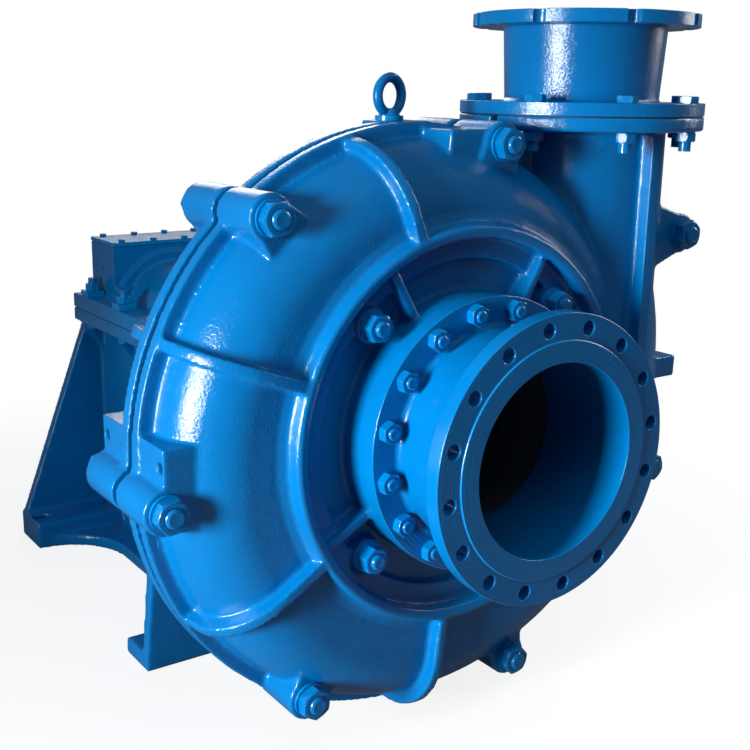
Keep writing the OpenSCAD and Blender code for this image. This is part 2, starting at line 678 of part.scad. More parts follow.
// closed impeller; each vane is an arc that leans back against the turning direction
vane_c = 152.6;                          // centre of the vane arc from the shaft axis
vane_r = 267.6;                          // radius of the vane arc
vane_t = 24;
hub_front = 366;
module wheel_passage() polygon([[40, 300], [suction_bore / 2 - 12, 300], [suction_bore / 2 - 12, wheel_y],
    [suction_bore / 2 - 4, wheel_y + 8], [210, wheel_y + 14], [impeller_d / 2 + 1, wheel_y + 16],
    [impeller_d / 2 + 1, split_y + outlet_w / 2], [180, split_y + outlet_w / 2],
    [110, split_y + outlet_w / 2 - 14], [72, hub_front + 14], [56, hub_front], [40, hub_front]]);
module vane_plan() intersection() {
    difference() {
        translate([vane_c, 0]) circle(r = vane_r + vane_t / 2);
        translate([vane_c, 0]) circle(r = vane_r - vane_t / 2);
    }
    difference() {
        circle(r = impeller_d / 2 - 2);
        circle(r = 140);
    }
    translate([-500, 0]) square([1000, 500]);
}
module impeller() color(iron) place() difference() {
    union() {
        difference() {
            rod(wheel_y, 2 * split_y - wheel_y, impeller_d / 2);
            spin() wheel_passage();
        }
        rod(hub_front, 505, 96);
        spin() polygon([[0, 322], [28, 326], [54, 340], [66, 356], [66, hub_front + 1], [0, hub_front + 1]]);
        for (i = [0:vanes - 1]) intersection() {
            slab(wheel_y + 6, 2 * split_y - wheel_y - 8) rotate([0, 0, i * 360 / vanes]) vane_plan();
            rod(wheel_y, 2 * split_y - wheel_y, impeller_d / 2);
        }
        // expelling vanes on both shrouds
        for (i = [0:7]) turn(i * 45 + 10) translate([0, 0, -7]) linear_extrude(height = 14) {
            translate([205, wheel_y - 6]) square([140, 7]);
            translate([150, 2 * split_y - wheel_y - 1]) square([195, 7]);
        }
    }
    rod(396, 600, 48 + seat);
}

pedestal_bracket();
pedestal_front_plate();
pedestal_sides();
pedestal_rear_plate();
pedestal_rails();
rear_casing();
front_casing();
volute_liner();
front_liner();
rear_liner();
suction_spool();
discharge_spool();
suction_studs();
suction_nuts();
suction_gasket();
discharge_joint_bolts();
discharge_joint_nuts();
discharge_gasket();
casing_studs();
casing_nuts();
casing_washers();
liner_studs();
liner_nuts();
liner_washers();
lifting_eyebolt();
stuffing_box();
box_studs();
box_nuts();
neck_bush();
packing_rings();
lantern_ring();
gland();
gland_studs();
gland_nuts();
pedestal_studs();
pedestal_nuts();
hold_down_bolts();
clamp_blocks();
adjusting_screws();
bearing_housing();
housing_cover();
cover_screws();
front_bearing_cover();
rear_bearing_cover();
bearing_cover_bolts();
front_outer_race();
rear_outer_race();
front_rollers();
front_cage();
rear_rollers();
rear_cage();
shaft();
impeller();
shaft_sleeve();
release_ring();
slinger();
bearing_spacer();
front_inner_race();
rear_inner_race();
bearing_locknut();
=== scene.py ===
# %% [markdown]
# # A slurry pump in blue enamel
# The solids of the pump arrive as a fixed frame: every casting, stud and bearing is already in its
# place, in metres. This lesson gives them the looks of a freshly painted foundry product: rounded
# casting corners, crisp nuts with chamfers and threads, and a thick glossy enamel over sand-cast
# iron. Nothing is moved, so each piece is made where the frame says that it is.

# %% Load the fixed frame
import json
import math

import bmesh
import bpy
import numpy as np
from mathutils import Matrix, Vector, noise

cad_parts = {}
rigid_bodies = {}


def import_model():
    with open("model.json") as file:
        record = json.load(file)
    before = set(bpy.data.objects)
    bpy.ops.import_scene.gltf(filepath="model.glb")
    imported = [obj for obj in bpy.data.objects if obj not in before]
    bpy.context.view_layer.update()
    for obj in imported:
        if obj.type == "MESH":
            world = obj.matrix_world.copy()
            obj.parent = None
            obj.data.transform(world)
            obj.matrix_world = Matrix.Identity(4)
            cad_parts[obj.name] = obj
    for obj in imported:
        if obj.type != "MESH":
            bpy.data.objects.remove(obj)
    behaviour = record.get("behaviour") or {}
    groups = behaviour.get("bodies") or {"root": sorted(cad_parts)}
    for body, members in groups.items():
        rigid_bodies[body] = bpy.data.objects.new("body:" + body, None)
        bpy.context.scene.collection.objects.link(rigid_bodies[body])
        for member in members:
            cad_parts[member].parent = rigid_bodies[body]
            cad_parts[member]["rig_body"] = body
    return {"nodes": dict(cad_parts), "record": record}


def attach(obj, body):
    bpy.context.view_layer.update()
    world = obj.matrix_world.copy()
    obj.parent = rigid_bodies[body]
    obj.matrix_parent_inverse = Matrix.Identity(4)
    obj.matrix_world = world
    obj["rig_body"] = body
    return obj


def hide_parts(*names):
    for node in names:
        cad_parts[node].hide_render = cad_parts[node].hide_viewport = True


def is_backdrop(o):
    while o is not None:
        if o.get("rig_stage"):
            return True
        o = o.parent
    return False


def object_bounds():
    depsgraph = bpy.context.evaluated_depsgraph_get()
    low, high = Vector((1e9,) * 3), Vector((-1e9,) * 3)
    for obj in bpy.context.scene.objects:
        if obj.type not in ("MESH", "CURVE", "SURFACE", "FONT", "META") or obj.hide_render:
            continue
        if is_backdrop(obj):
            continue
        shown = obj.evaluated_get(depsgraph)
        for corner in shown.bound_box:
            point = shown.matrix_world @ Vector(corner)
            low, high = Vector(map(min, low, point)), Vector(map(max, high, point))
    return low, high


for old in list(bpy.data.objects):
    bpy.data.objects.remove(old)
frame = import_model()
cad_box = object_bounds()
nodes = frame["nodes"]
scene = bpy.context.scene
scene.view_settings.view_transform = "Standard"

# %% [markdown]
# ## The camera
# The pump is seen from its suction side, from the left and a little above, so that the flange, the
# round casing and the discharge all show. The camera is a plain one: a place, three turns and a
# focal length. It never uses depth of field, because a product view is sharp from front to back.

# %% Camera
CAMERA_PLACE = Vector((-1.32194, -2.52182, 1.24405))
CAMERA_YAW, CAMERA_PITCH, CAMERA_ROLL = 34.505, 14.467, -0.872    # degrees
LENS, SENSOR = 53.96, 36.0            # millimetres
SHIFT_X, SHIFT_Y = 0.0283, 0.0015     # shares of the sensor's width


def make_camera():
    yaw, pitch, roll = (math.radians(a) for a in (CAMERA_YAW, CAMERA_PITCH, CAMERA_ROLL))
    ahead = Vector((math.sin(yaw) * math.cos(pitch), math.cos(yaw) * math.cos(pitch), -math.sin(pitch)))
    right = Vector((math.cos(yaw), -math.sin(yaw), 0))
    up = right.cross(ahead)
    side, top = (right * math.cos(roll) - up * math.sin(roll), right * math.sin(roll) + up * math.cos(roll))
    camera = bpy.data.objects.new("camera", bpy.data.cameras.new("camera"))
    scene.collection.objects.link(camera)
    axes = Matrix((side, top, -ahead)).transposed()
    camera.matrix_world = Matrix.Translation(CAMERA_PLACE) @ axes.to_4x4()
    camera.data.sensor_width = SENSOR
    camera.data.lens = LENS
    camera.data.shift_x, camera.data.shift_y = SHIFT_X, SHIFT_Y
    scene.camera = camera
    return camera


camera = make_camera()
print("camera at", tuple(round(c, 3) for c in camera.location))

# %% [markdown]
# ## Small tools for node trees
# Materials and Geometry Nodes are both trees of nodes with links between sockets. A few short
# helpers keep the later cells readable. One adds a node and sets its values, and one makes a node
# group with named inputs and outputs. Three more add a Math, a Map Range or a Mix node, link what
# goes in, and give back what comes out, so that a chain of nodes reads like a formula.

# %% Node tree helpers
def add(tree, kind, values=None, **settings):
    node = tree.nodes.new(kind)
    for key, value in settings.items():
        setattr(node, key, value)
    for key, value in (values or {}).items():
        node.inputs[key].default_value = value
    return node


def group(name, inputs, outputs, kind="ShaderNodeTree"):
    tree = bpy.data.node_groups.new(name, kind)
    for label, socket, start in inputs:
        made = tree.interface.new_socket(name=label, in_out="INPUT", socket_type=socket)
        if start is not None:
            made.default_value = start
    for label, socket in outputs:
        tree.interface.new_socket(name=label, in_out="OUTPUT", socket_type=socket)
    return tree, tree.nodes.new("NodeGroupInput"), tree.nodes.new("NodeGroupOutput")


def reckon(tree, operation, first, second):
    """What a Math node makes of two outputs."""
    node = add(tree, "ShaderNodeMath", operation=operation)
    tree.links.new(first, node.inputs[0])
    tree.links.new(second, node.inputs[1])
    return node.outputs[0]


def remapped(tree, value, low, high, new_low=0.0, new_high=1.0, **settings):
    """An output stretched so that low becomes new_low, and high becomes new_high."""
    values = {"From Min": low, "From Max": high, "To Min": new_low, "To Max": new_high}
    node = add(tree, "ShaderNodeMapRange", values, **settings)
    tree.links.new(value, node.inputs["Value"])
    return node.outputs["Result"]


def mixed(tree, share, first, second):
    """Two colours mixed by an output; each is a plain colour or an output."""
    node = add(tree, "ShaderNodeMix", data_type="RGBA")
    tree.links.new(share, node.inputs["Factor"])
    for key, colour in (("A", first), ("B", second)):
        if isinstance(colour, tuple):
            node.inputs[key].default_value = colour
        else:
            tree.links.new(colour, node.inputs[key])
    return node.outputs["Result"]


def srgb(r, g, b):
    """A screen colour, 0 to 255, as the linear colour that a shader wants."""
    lin = [c / 12.92 if c <= 0.04045 else ((c + 0.055) / 1.055) ** 2.4 for c in (r / 255, g / 255, b / 255)]
    return (*lin, 1.0)


def darker(colour, share):
    return tuple(share * c for c in colour[:3]) + (1.0,)


def new_material(name):
    material = bpy.data.materials.new(name)
    material.use_nodes = True
    material.node_tree.nodes.clear()
    return material, material.node_tree


print("a white of 255 is", srgb(255, 255, 255)[0], "and a grey of 128 is", round(srgb(128, 128, 128)[0], 3))

# %% [markdown]
# ## Cast skin, as a node group
# Iron poured into a sand mould keeps the print of the sand. Under enamel it shows as three sizes of
# unevenness: broad waves from the mould, lumps of a few millimetres from the grains, and the fine
# orange peel of the sprayed paint itself. One group adds three noises up into a height, and puts
# out a slow mottle too, which later varies the colour and the gloss.

# %% Cast skin group
def make_cast_skin():
    tree, start, end = group(
        "cast_skin",
        [("Grain size", "NodeSocketFloat", 150.0), ("Grain", "NodeSocketFloat", 1.0),
         ("Peel", "NodeSocketFloat", 0.25), ("Wave", "NodeSocketFloat", 1.2)],
        [("Height", "NodeSocketFloat"), ("Mottle", "NodeSocketFloat")],
    )
    link = tree.links.new
    place = add(tree, "ShaderNodeTexCoord")
    shares = []
    for scale, strength, detail in ((None, "Grain", 3.0), (620.0, "Peel", 1.0), (26.0, "Wave", 2.0)):
        ripple = add(tree, "ShaderNodeTexNoise", {"Detail": detail, "Roughness": 0.55})
        link(place.outputs["Object"], ripple.inputs["Vector"])
        if scale is None:
            link(start.outputs["Grain size"], ripple.inputs["Scale"])
        else:
            ripple.inputs["Scale"].default_value = scale
        shares.append(reckon(tree, "MULTIPLY", ripple.outputs["Fac"], start.outputs[strength]))
    fine = reckon(tree, "ADD", shares[0], shares[1])
    link(reckon(tree, "ADD", fine, shares[2]), end.inputs["Height"])
    mottle = add(tree, "ShaderNodeTexNoise", {"Scale": 7.0, "Detail": 5.0, "Roughness": 0.6})
    link(place.outputs["Object"], mottle.inputs["Vector"])
    link(mottle.outputs["Fac"], end.inputs["Mottle"])
    return tree


CAST_SKIN = make_cast_skin()
print("group:", CAST_SKIN.name)

# %% [markdown]
# ## Edges, hollows and dust
# Sharp edges get a lighter colour, partly as paint worn thin and partly as a painted highlight, and
# hollows a darker one as painted shade. Workshop dust settles on what faces up. Cycles measures how
# pointed a surface is; that gives an edge mask and a hollow mask. The upward part of the normal gives
# the dust mask. Noise breaks up edges and dust, so that no line is clean.

# %% Edge and dust groups
def make_edge_mask():
    tree, start, end = group(
        "edge_mask", [("Low", "NodeSocketFloat", 0.53), ("High", "NodeSocketFloat", 0.60)],
        [("Edge", "NodeSocketFloat"), ("Hollow", "NodeSocketFloat")])
    link = tree.links.new
    shape = add(tree, "ShaderNodeNewGeometry")
    place = add(tree, "ShaderNodeTexCoord")
    rough = add(tree, "ShaderNodeTexNoise", {"Scale": 45.0, "Detail": 4.0})
    link(place.outputs["Object"], rough.inputs["Vector"])
    edge = add(tree, "ShaderNodeMapRange", interpolation_type="SMOOTHSTEP")
    link(shape.outputs["Pointiness"], edge.inputs["Value"])
    link(start.outputs["Low"], edge.inputs["From Min"])
    link(start.outputs["High"], edge.inputs["From Max"])
    link(reckon(tree, "MULTIPLY", edge.outputs["Result"], rough.outputs["Fac"]), end.inputs["Edge"])
    hollow = remapped(tree, shape.outputs["Pointiness"], 0.47, 0.40, interpolation_type="SMOOTHSTEP")
    link(hollow, end.inputs["Hollow"])
    return tree


def make_dust_mask():
    tree, start, end = group("dust_mask", [("Amount", "NodeSocketFloat", 0.2)], [("Dust", "NodeSocketFloat")])
    link = tree.links.new
    shape = add(tree, "ShaderNodeNewGeometry")
    place = add(tree, "ShaderNodeTexCoord")
    split = add(tree, "ShaderNodeSeparateXYZ")
    link(shape.outputs["Normal"], split.inputs[0])
    up = remapped(tree, split.outputs["Z"], 0.75, 1.0, interpolation_type="SMOOTHSTEP")
    patch = add(tree, "ShaderNodeTexNoise", {"Scale": 14.0, "Detail": 7.0, "Roughness": 0.7})
    link(place.outputs["Object"], patch.inputs["Vector"])
    broken = remapped(tree, patch.outputs["Fac"], 0.42, 0.72)
    both = reckon(tree, "MULTIPLY", up, broken)
    link(reckon(tree, "MULTIPLY", both, start.outputs["Amount"]), end.inputs["Dust"])
    return tree


EDGE_MASK, DUST_MASK = make_edge_mask(), make_dust_mask()
print("groups:", EDGE_MASK.name, DUST_MASK.name)

# %% [markdown]
# ## Lathe lines
# A flange face, a shaft and a bearing cover leave the lathe with fine rings round their axis. The
# group measures the distance from an axis through a given point, and turns it into ripples. A
# facing tool leaves them as rings on the face; on a shaft, ripples along Y do the same.

# %% Lathe line group
def make_lathe_lines():
    tree, start, end = group(
        "lathe_lines",
        [("Centre", "NodeSocketVector", (0.0, 0.0, 0.0)), ("Mask axes", "NodeSocketVector", (1.0, 0.0, 1.0)),
         ("Rings per metre", "NodeSocketFloat", 700.0)],
        [("Height", "NodeSocketFloat"), ("Face", "NodeSocketFloat")])
    link = tree.links.new
    place = add(tree, "ShaderNodeTexCoord")
    shift = add(tree, "ShaderNodeVectorMath", operation="SUBTRACT")
    link(place.outputs["Object"], shift.inputs[0])
    link(start.outputs["Centre"], shift.inputs[1])
    flat = add(tree, "ShaderNodeVectorMath", operation="MULTIPLY")
    link(shift.outputs[0], flat.inputs[0])
    link(start.outputs["Mask axes"], flat.inputs[1])
    away = add(tree, "ShaderNodeVectorMath", operation="LENGTH")
    link(flat.outputs[0], away.inputs[0])
    count = reckon(tree, "MULTIPLY", away.outputs["Value"], start.outputs["Rings per metre"])
    lines = add(tree, "ShaderNodeTexNoise", {"Scale": 1.0, "Detail": 2.0}, noise_dimensions="1D")
    link(count, lines.inputs["W"])
    link(lines.outputs["Fac"], end.inputs["Height"])
    # how squarely the surface faces along the axis
    shape = add(tree, "ShaderNodeNewGeometry")
    across = add(tree, "ShaderNodeVectorMath", operation="MULTIPLY")
    link(shape.outputs["True Normal"], across.inputs[0])
    link(start.outputs["Mask axes"], across.inputs[1])
    tilt = add(tree, "ShaderNodeVectorMath", operation="LENGTH")
    link(across.outputs[0], tilt.inputs[0])
    link(remapped(tree, tilt.outputs["Value"], 0.3, 0.08), end.inputs["Face"])
    return tree


LATHE_LINES = make_lathe_lines()
print("group:", LATHE_LINES.name)

# %% [markdown]
# ## The enamel
# One function makes every painted finish. The colour is a deep process blue: a little lighter on an
# edge, partly as thin paint and partly as a painted highlight, darker in the hollows as painted shade,
# with a pale dust on top of some pieces. The colour coat is dull, and a clear coat over it gives the
# sharp highlights. The cast skin goes into two Bump nodes, a weak one for the colour and a stronger
# one for the clear coat, so that highlights break up into specks while the colour stays calm. Machined
# faces also get lathe lines.

# %% Enamel
ENAMEL = srgb(0, 108, 174)
# lighter on edges: partly paint worn thin, partly a painted highlight
ENAMEL_WORN_AND_EDGE_HIGHLIGHT = srgb(8, 134, 200)
# painted shade for the hollows
ENAMEL_PAINTED_SHADE = srgb(0, 74, 134)
DUST = srgb(150, 172, 196)
RELIEF = 0.0022         # metres of relief for a height of 1
COAT_RELIEF = 1.5       # how much more the clear coat follows the cast skin
FACING_LINES = 170.0    # lathe rings per metre on a flange face


def painted(name, grain=1.3, grain_size=210.0, peel=0.2, wave=1.0, bump=0.24, gloss=0.3, dust=0.0,
            lines=None):
    material, tree = new_material(name)
    link = tree.links.new
    out = add(tree, "ShaderNodeOutputMaterial")
    paint = add(tree, "ShaderNodeBsdfPrincipled", {
        "Specular IOR Level": 0.08, "Specular Tint": (0.6, 0.9, 1.0, 1.0),
        "Coat Weight": 0.8, "Coat Roughness": 0.13})
    link(paint.outputs[0], out.inputs[0])
    surface = {"Grain size": grain_size, "Grain": grain, "Peel": peel, "Wave": wave}
    skin = add(tree, "ShaderNodeGroup", surface, node_tree=CAST_SKIN)
    edges = add(tree, "ShaderNodeGroup", node_tree=EDGE_MASK)
    dusty = add(tree, "ShaderNodeGroup", {"Amount": dust}, node_tree=DUST_MASK)
    # colour: base, mottled, painted shade in hollows, thin paint and painted highlight on edges, dusty on top
    spread = remapped(tree, skin.outputs["Mottle"], 0.35, 0.7)
    colour = mixed(tree, spread, ENAMEL, darker(ENAMEL, 0.86))
    colour = mixed(tree, edges.outputs["Hollow"], colour, ENAMEL_PAINTED_SHADE)
    colour = mixed(tree, edges.outputs["Edge"], colour, ENAMEL_WORN_AND_EDGE_HIGHLIGHT)
    colour = mixed(tree, dusty.outputs["Dust"], colour, DUST)
    link(colour, paint.inputs["Base Color"])
    # gloss: uneven, duller under dust
    dull = remapped(tree, skin.outputs["Mottle"], 0.3, 0.75, gloss - 0.05, gloss + 0.1)
    link(reckon(tree, "ADD", dull, dusty.outputs["Dust"]), paint.inputs["Roughness"])
    height = skin.outputs["Height"]
    if lines:
        centre, across = lines
        rings = add(tree, "ShaderNodeGroup",
                    {"Centre": centre, "Mask axes": across, "Rings per metre": FACING_LINES},
                    node_tree=LATHE_LINES)
        on_faces = reckon(tree, "MULTIPLY", rings.outputs["Height"], rings.outputs["Face"])
        height = reckon(tree, "ADD", height, on_faces)
    for socket, strength in (("Normal", bump), ("Coat Normal", COAT_RELIEF * bump)):
        relief = add(tree, "ShaderNodeBump", {"Strength": strength, "Distance": RELIEF})
        link(height, relief.inputs["Height"])
        link(relief.outputs["Normal"], paint.inputs[socket])
    return material


print("enamel is", [round(c, 3) for c in ENAMEL[:3]])

# %% [markdown]
# ## A coat for each painted piece
# All pieces share one colour, but not one surface. The casings are roughest, since nobody grinds
# them. The pipes are smoother and have turned flange faces, whose rings are centred on the mounts
# that the record gives. Nuts are nearly smooth. The pedestal and the housing hold some dust.

# %% Painted finishes
centre_of = {mount["name"]: mount["pos_m"] for mount in frame["record"]["mounts"]}
SUCTION_AXIS = (centre_of["suction_flange"], (1.0, 0.0, 1.0))
DISCHARGE_AXIS = (centre_of["discharge_flange"], (1.0, 1.0, 0.0))
CASTING = painted("casting_enamel")
SPOOL_IN = painted("suction_pipe_enamel", grain=0.6, bump=0.2, lines=SUCTION_AXIS)
SPOOL_OUT = painted("discharge_pipe_enamel", grain=1.0, bump=0.25, lines=DISCHARGE_AXIS)
FRAME_PAINT = painted("pedestal_enamel", grain=1.0, wave=0.8, bump=0.25, gloss=0.32, dust=0.12)
HOUSING_PAINT = painted("housing_enamel", grain=0.8, wave=0.6, bump=0.22, gloss=0.3, dust=0.12)
FASTENER_PAINT = painted("fastener_enamel", grain=0.35, grain_size=420.0, peel=0.4, wave=0.3, bump=0.15,
                         gloss=0.28)
print("painted finishes:", CASTING.name, SPOOL_IN.name, FRAME_PAINT.name)

# %% [markdown]
# ## Bare metals, rubber and packing
# Inside and at the drive end the metal is bare. The wet parts are a hard white iron: grey, dull and
# pitted by casting. Shaft, races and rollers are turned or ground steel, so their lines run round
# the shaft. The bronze of bush and cages is warmer. Seals are black rubber, and the packing is a
# braided rope, whose weave is two crossing waves.

# %% Bare finishes
def bare(name, colour, metallic, roughness, grain=0.6, grain_size=300.0, bump=0.3, lines=None, mottle=0.8):
    material, tree = new_material(name)
    link = tree.links.new
    out = add(tree, "ShaderNodeOutputMaterial")
    metal = add(tree, "ShaderNodeBsdfPrincipled", {"Metallic": metallic})
    link(metal.outputs[0], out.inputs[0])
    surface = {"Grain size": grain_size, "Grain": grain, "Peel": 0.15, "Wave": 0.3}
    skin = add(tree, "ShaderNodeGroup", surface, node_tree=CAST_SKIN)
    edges = add(tree, "ShaderNodeGroup", node_tree=EDGE_MASK)
    spread = remapped(tree, skin.outputs["Mottle"], 0.35, 0.7)
    tint = mixed(tree, spread, colour, darker(colour, mottle))
    # painted shade: hollows darkened to less than half the colour
    link(mixed(tree, edges.outputs["Hollow"], tint, darker(colour, 0.45)), metal.inputs["Base Color"])
    dull = remapped(tree, skin.outputs["Mottle"], 0.3, 0.75, roughness - 0.06, roughness + 0.1)
    link(dull, metal.inputs["Roughness"])
    height = skin.outputs["Height"]
    if lines:
        centre, across, per_metre = lines
        rings = add(tree, "ShaderNodeGroup",
                    {"Centre": centre, "Mask axes": across, "Rings per metre": per_metre},
                    node_tree=LATHE_LINES)
        height = reckon(tree, "ADD", height, rings.outputs["Height"])
    relief = add(tree, "ShaderNodeBump", {"Strength": bump, "Distance": 0.0006})
    link(height, relief.inputs["Height"])
    link(relief.outputs["Normal"], metal.inputs["Normal"])
    return material


PAST_THE_SHAFT = (0.0, 0.8, 0.0)    # the distance from here along Y gives lines that run round it
TURNING_LINES = 900.0               # lathe lines per metre of shaft
ROUND_THE_SHAFT = (PAST_THE_SHAFT, (0.0, 1.0, 0.0), TURNING_LINES)
WET_IRON = bare("white_iron", srgb(92, 98, 106), 0.35, 0.5, grain=1.0, grain_size=170.0, bump=0.5)
STEEL = bare("turned_steel", srgb(176, 179, 184), 1.0, 0.27, grain=0.1, bump=0.22, lines=ROUND_THE_SHAFT,
             mottle=0.86)
OILED_STEEL = bare("oiled_steel", srgb(128, 131, 136), 1.0, 0.34, grain=0.3, bump=0.25, mottle=0.78)
BRONZE = bare("bronze", srgb(176, 138, 84), 1.0, 0.32, grain=0.2, bump=0.22, mottle=0.8)
RUBBER = bare("seal_rubber", srgb(24, 25, 27), 0.0, 0.62, grain=0.6, grain_size=500.0, bump=0.4)


def make_packing():
    material, tree = new_material("braided_packing")
    link = tree.links.new
    out = add(tree, "ShaderNodeOutputMaterial")
    rope = add(tree, "ShaderNodeBsdfPrincipled", {"Roughness": 0.85, "Specular IOR Level": 0.3})
    link(rope.outputs[0], out.inputs[0])
    place = add(tree, "ShaderNodeTexCoord")
    strands = []
    for turn in (0.8, -0.8):
        lie = add(tree, "ShaderNodeMapping", {"Rotation": (turn, turn, 0.0)})
        link(place.outputs["Object"], lie.inputs["Vector"])
        wave = add(tree, "ShaderNodeTexWave", {"Scale": 60.0, "Distortion": 1.2, "Detail": 2.0})
        link(lie.outputs[0], wave.inputs["Vector"])
        strands.append(wave.outputs["Fac"])
    braid = reckon(tree, "MAXIMUM", *strands)
    link(mixed(tree, braid, srgb(92, 86, 66), srgb(158, 150, 122)), rope.inputs["Base Color"])
    relief = add(tree, "ShaderNodeBump", {"Strength": 0.6, "Distance": 0.001})
    link(braid, relief.inputs["Height"])
    link(relief.outputs["Normal"], rope.inputs["Normal"])
    return material


PACKING = make_packing()
print("bare finishes:", WET_IRON.name, STEEL.name, BRONZE.name, RUBBER.name, PACKING.name)

# %% [markdown]
# ## Castings with foundry fillets
# A founder never leaves a sharp inner corner, since iron cracks there, and the sand rounds every
# outer edge. The solids have sharp edges, so each big casting gets a skin of its own: a copy of the
# solid is rebuilt on a fine grid, which closes it, then smoothed, which rounds every edge and fills
# every corner alike. Last, slow waves of a few tenths of a millimetre make its surface uneven as a
# sand mould does. The skin stands for the solid, which stays underneath for the motion.

# %% Rounded castings
BROAD_WAVE, SHORT_WAVE = 22.0, 55.0    # bumps per metre of an uneven casting
MOST_TRIANGLES = 190000                # a denser skin is thinned to this


def finished_mesh(piece, name):
    """The piece's modifiers turned into a plain mesh, with the modifiers taken off."""
    made = bpy.data.meshes.new_from_object(piece.evaluated_get(bpy.context.evaluated_depsgraph_get()))
    made.name = name
    piece.modifiers.clear()
    piece.data = made
    return made


def merged_copy(names):
    shell = bmesh.new()
    for name in names:
        shell.from_mesh(nodes[name].data)
    bmesh.ops.remove_doubles(shell, verts=shell.verts, dist=1e-5)
    mesh = bpy.data.meshes.new("merged")
    shell.to_mesh(mesh)
    shell.free()
    return mesh


def stand_in(piece, names, material):
    """Give a piece its finish and let it stand for these nodes."""
    piece.data.materials.clear()
    piece.data.materials.append(material)
    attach(piece, nodes[names[0]]["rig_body"])
    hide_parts(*names)
    print(piece.name, len(piece.data.polygons), "faces stand for", ", ".join(names))


def rounded_casting(name, names, material, slot, cell, rounds, wave):
    piece = bpy.data.objects.new(name, merged_copy(names))
    scene.collection.objects.link(piece)
    grid = piece.modifiers.new("grid", "REMESH")
    grid.mode = "VOXEL"
    grid.voxel_size = cell
    soften = piece.modifiers.new("soften", "SMOOTH")
    soften.factor = 0.5
    soften.iterations = rounds
    mesh = finished_mesh(piece, name)
    triangles = 2 * len(mesh.polygons)
    if triangles > MOST_TRIANGLES:
        thin = piece.modifiers.new("thin", "DECIMATE")
        thin.ratio = MOST_TRIANGLES / triangles
        mesh = finished_mesh(piece, name)
    count = len(mesh.vertices)
    place, normal = np.empty(count * 3, np.float32), np.empty(count * 3, np.float32)
    mesh.vertices.foreach_get("co", place)
    mesh.vertices.foreach_get("normal", normal)
    place, normal = place.reshape(-1, 3), normal.reshape(-1, 3)
    lift = np.array([noise.noise(Vector(p) * BROAD_WAVE) + 0.5 * noise.noise(Vector(p) * SHORT_WAVE)
                     for p in place.tolist()])
    place += normal * (lift[:, None] * wave)
    mesh.vertices.foreach_set("co", place.ravel())
    mesh.shade_smooth()
    stand_in(piece, names, material)


PEDESTAL = [n for n in nodes if n.startswith("pedestal") and not n.endswith(("studs", "nuts"))]
SHELLS = [  # piece, nodes, finish, slot, grid, rounds of smoothing, waves
    ("front_casing_shell", ["front_casing"], CASTING, "casting_paint", 0.004, 2, 0.0004),
    ("rear_casing_shell", ["rear_casing"], CASTING, "casting_paint", 0.004, 2, 0.0004),
    ("pedestal_shell", PEDESTAL, FRAME_PAINT, "pedestal_paint", 0.005, 2, 0.0004),
    ("housing_shell", ["bearing_housing"], HOUSING_PAINT, "housing_paint", 0.0035, 2, 0.0003),
]
for shell in SHELLS:
    rounded_casting(*shell)

# %% [markdown]
# ## Turned pipes with filed edges
# The two pipes were faced on a lathe, so their edges are much crisper than those of a rough casting.
# A grid would lose the thin raised face. Their copies keep the exact shape: flat areas are merged
# first, then a Bevel modifier breaks each sharp edge with a small round that catches the light.

# %% Turned pipes
def turned_casting(name, node, material, edge):
    """A copy with flat areas merged and a small round of this width on every sharp edge."""
    mesh = merged_copy([node])
    shape = bmesh.new()
    shape.from_mesh(mesh)
    bmesh.ops.dissolve_limit(shape, angle_limit=math.radians(0.5), verts=shape.verts, edges=shape.edges)
    shape.to_mesh(mesh)
    shape.free()
    piece = bpy.data.objects.new(name, mesh)
    scene.collection.objects.link(piece)
    broken = piece.modifiers.new("broken_edges", "BEVEL")
    broken.width = edge
    broken.segments = 2
    broken.limit_method = "ANGLE"
    broken.angle_limit = math.radians(30)
    even = piece.modifiers.new("even_shading", "WEIGHTED_NORMAL")
    even.keep_sharp = True
    mesh.shade_smooth()
    mesh.set_sharp_from_angle(angle=math.radians(50))
    finished_mesh(piece, name)
    stand_in(piece, [node], material)


turned_casting("inlet_pipe", "suction_spool", SPOOL_IN, 0.0016)
turned_casting("outlet_pipe", "discharge_spool", SPOOL_OUT, 0.0018)

# %% [markdown]
# ## One nut and one stud
# The pump is held together by more than a hundred nuts and studs in a few sizes. A nut is turned
# before it is used: a cone cuts its hexagon, so that each flat ends in an arc. It could be a cylinder
# of six sides with a bevel, but that gives straight flats with no arcs. Here it is a stack of rings
# whose height falls away towards the corners. A stud is a turned profile with thread ridges.

# %% A nut and a stud
def ring_mesh(name, rings, closed_ends):
    """A mesh of rings of equal length, joined by quads from one ring to the next."""
    shape = bmesh.new()
    made = [[shape.verts.new(p) for p in ring] for ring in rings]
    bands = list(zip(made, made[1:]))
    if not closed_ends:
        bands.append((made[-1], made[0]))
    size = len(made[0])
    for low, high in bands:
        for i in range(size):
            j = (i + 1) % size
            shape.faces.new((low[i], low[j], high[j], high[i]))
    if closed_ends:
        shape.faces.new(list(reversed(made[0])))
        shape.faces.new(made[-1])
    bmesh.ops.recalc_face_normals(shape, faces=shape.faces)
    mesh = bpy.data.meshes.new(name)
    shape.to_mesh(mesh)
    shape.free()
    return mesh


